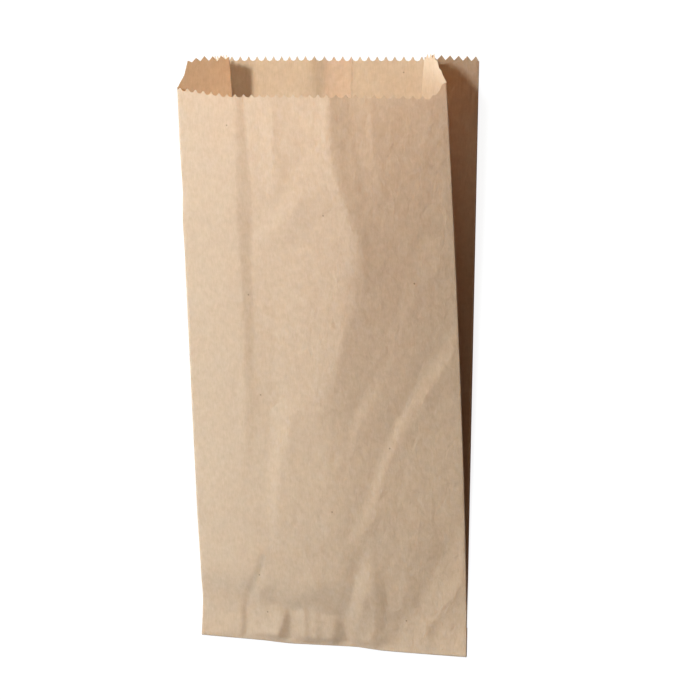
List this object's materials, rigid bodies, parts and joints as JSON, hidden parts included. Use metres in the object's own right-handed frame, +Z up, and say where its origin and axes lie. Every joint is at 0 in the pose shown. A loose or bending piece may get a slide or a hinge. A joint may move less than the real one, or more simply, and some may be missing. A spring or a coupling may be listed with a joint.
{
  "type": "paper coffee bag",
  "caption": "Open kraft paper bag with side gussets, a toothed mouth and a folded, glued foot, lying on its back panel; holds dry goods such as coffee.",
  "frame": {"origin": "centre of the bag's footprint, on the surface that its back panel lies on", "axes": "+X across the bag to the right, +Y from the folded foot to the mouth, +Z up, out of the front panel"},
  "size_m": [0.1402, 0.287, 0.0462],
  "materials": {
    "kraft_paper": "matte, uncoated"
  },
  "bodies": {
    "root": {"paper_bag": "kraft_paper"}
  },
  "joints": []
}
